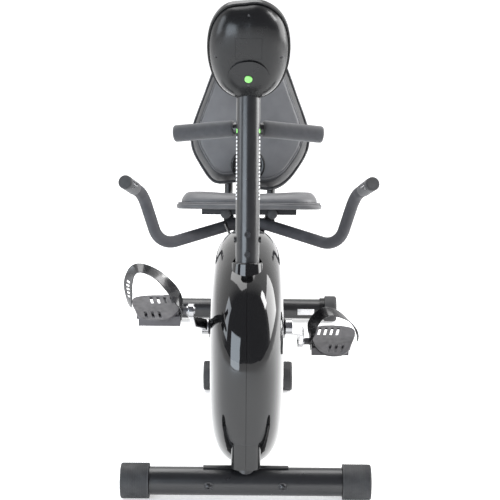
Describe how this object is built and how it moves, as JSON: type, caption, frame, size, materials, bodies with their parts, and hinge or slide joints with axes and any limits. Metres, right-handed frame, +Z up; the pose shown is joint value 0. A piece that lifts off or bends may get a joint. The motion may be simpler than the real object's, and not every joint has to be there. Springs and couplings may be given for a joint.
{
  "type": "exercise bike",
  "caption": "Recumbent exercise bike with a sliding padded seat and backrest, side handles, a leaning console post, covered belt drive and strapped pedals.",
  "frame": {"origin": "on the floor, under the middle of the object's bounding box", "axes": "+Z up, +Y from the console and pedals back towards the seat, +X towards the rider's left hand"},
  "size_m": [0.639, 1.4002, 1.0372],
  "materials": {
    "black_tube": "black satin powder coat",
    "gloss_plastic": "black high-gloss moulded plastic",
    "satin_plastic": "black satin moulded plastic",
    "rubber": "dark grey ribbed rubber",
    "chrome": "chrome plate",
    "zinc_steel": "zinc-plated steel",
    "dark_steel": "black zinc plated steel",
    "cast_iron": "machined cast iron",
    "belt_rubber": "ribbed belt",
    "pedal_plastic": "dark grey textured nylon",
    "strap": "glossy flexible vinyl strap",
    "cushion_vinyl": "dark grey grained vinyl",
    "board": "black moulded seat board",
    "foam": "closed-cell foam grip",
    "sensor_metal": "brushed pulse sensor plate",
    "screen": "dark display window",
    "green_plastic": "green plastic plug",
    "button_grey": "grey soft button"
  },
  "bodies": {
    "frame": {"front_stabiliser": "black_tube", "roller_axles": "satin_plastic", "centre_foot": "black_tube", "centre_foot_caps": "rubber", "rear_stabiliser": "black_tube", "rear_collars": "satin_plastic", "front_column": "black_tube", "frame_bolts": "dark_steel", "lower_beam": "black_tube", "crank_housing": "black_tube", "crank_bearings": "zinc_steel", "flywheel_bracket": "black_tube", "seat_upright": "black_tube", "seat_rail": "black_tube", "shroud_left": "gloss_plastic", "shroud_right": "gloss_plastic", "post_collar": "gloss_plastic", "console_post": "black_tube", "handlebar_tube": "black_tube", "front_foam_grips": "foam", "console_back": "satin_plastic", "battery_door": "satin_plastic", "console_cap": "green_plastic", "console_screws": "dark_steel", "console_bezel": "satin_plastic", "console_screen": "screen", "flywheel_axle": "zinc_steel", "drive_belt": "belt_rubber", "tension_cable": "satin_plastic"},
    "crank": {"crank_axle": "zinc_steel", "crank_pulley": "satin_plastic", "crank_arm_left": "chrome", "crank_arm_right": "chrome", "crank_discs": "satin_plastic", "pedal_spindles": "chrome"},
    "flywheel": {"flywheel": "cast_iron"},
    "brake": {"brake_arm": "zinc_steel"},
    "tension_knob": {"tension_knob": "satin_plastic"},
    "pedal_left": {"pedal_left": "pedal_plastic", "pedal_strap_left": "strap"},
    "pedal_right": {"pedal_right": "pedal_plastic", "pedal_strap_right": "strap"},
    "seat": {"seat_base": "board", "seat_cushion": "cushion_vinyl", "backrest_shell": "board", "backrest_cushion": "cushion_vinyl", "seat_frame": "black_tube", "handle_tube": "black_tube", "pulse_grips": "foam", "pulse_plates": "sensor_metal", "grip_caps": "rubber", "seat_carriage": "black_tube"},
    "seat_lever": {"seat_lever": "satin_plastic"},
    "front_roller_left": {"front_roller_left": "rubber"},
    "front_roller_right": {"front_roller_right": "rubber"},
    "rear_level_foot_left": {"rear_level_foot_left": "rubber"},
    "rear_level_foot_right": {"rear_level_foot_right": "rubber"},
    "console_button_1": {"console_button_1": "button_grey"},
    "console_button_2": {"console_button_2": "button_grey"},
    "console_button_3": {"console_button_3": "button_grey"}
  },
  "joints": [
    {"name": "crank_spin", "type": "hinge", "parent": "frame", "child": "crank", "pos_m": [0, -0.49, 0.333], "axis": [1, 0, 0], "continuous": true},
    {"name": "flywheel_spin", "type": "hinge", "parent": "frame", "child": "flywheel", "pos_m": [0, -0.23, 0.288], "axis": [1, 0, 0], "continuous": true},
    {"name": "pedal_left_spin", "type": "hinge", "parent": "crank", "child": "pedal_left", "pos_m": [0.195, -0.3399, 0.25319], "axis": [1, 0, 0], "continuous": true},
    {"name": "pedal_right_spin", "type": "hinge", "parent": "crank", "child": "pedal_right", "pos_m": [-0.195, -0.6401, 0.41281], "axis": [1, 0, 0], "continuous": true},
    {"name": "tension_turn", "type": "hinge", "parent": "frame", "child": "tension_knob", "pos_m": [0, -0.49301, 0.68517], "axis": [0, 0.9833, -0.1822], "range_deg": [0, 270]},
    {"name": "brake_swing", "type": "hinge", "parent": "frame", "child": "brake", "pos_m": [0, -0.286, 0.4086], "axis": [1, 0, 0], "range_deg": [0, 4]},
    {"name": "seat_slide", "type": "slide", "parent": "frame", "child": "seat", "axis": [0, 1, 0], "range_m": [-0.1, 0.14]},
    {"name": "seat_lever_press", "type": "hinge", "parent": "seat", "child": "seat_lever", "pos_m": [-0.0485, 0.262, 0.352], "axis": [1, 0, 0], "range_deg": [0, 18], "stiffness_Nm_per_rad": 0.8, "springref_deg": -17.19},
    {"name": "front_roller_left_spin", "type": "hinge", "parent": "frame", "child": "front_roller_left", "pos_m": [0.234, -0.64, 0.0375], "axis": [1, 0, 0], "continuous": true},
    {"name": "front_roller_right_spin", "type": "hinge", "parent": "frame", "child": "front_roller_right", "pos_m": [-0.234, -0.64, 0.0375], "axis": [1, 0, 0], "continuous": true},
    {"name": "rear_level_left_turn", "type": "hinge", "parent": "frame", "child": "rear_level_foot_left", "pos_m": [0.246, 0.661, 0.0375], "axis": [1, 0, 0], "range_deg": [0, 180]},
    {"name": "rear_level_right_turn", "type": "hinge", "parent": "frame", "child": "rear_level_foot_right", "pos_m": [-0.246, 0.661, 0.0375], "axis": [1, 0, 0], "range_deg": [0, 180]},
    {"name": "console_button_1_press", "type": "slide", "parent": "frame", "child": "console_button_1", "axis": [0, -0.9135, -0.4067], "range_m": [0, 0.0015], "stiffness_N_per_m": 400, "springref_m": -0.0005},
    {"name": "console_button_2_press", "type": "slide", "parent": "frame", "child": "console_button_2", "axis": [0, -0.9135, -0.4067], "range_m": [0, 0.0015], "stiffness_N_per_m": 400, "springref_m": -0.0005},
    {"name": "console_button_3_press", "type": "slide", "parent": "frame", "child": "console_button_3", "axis": [0, -0.9135, -0.4067], "range_m": [0, 0.0015], "stiffness_N_per_m": 400, "springref_m": -0.0005}
  ],
  "couplings": [
    {"joint": "flywheel_spin", "follows": "crank_spin", "ratio": 8},
    {"joint": "brake_swing", "follows": "tension_turn", "ratio": 0.014815}
  ]
}
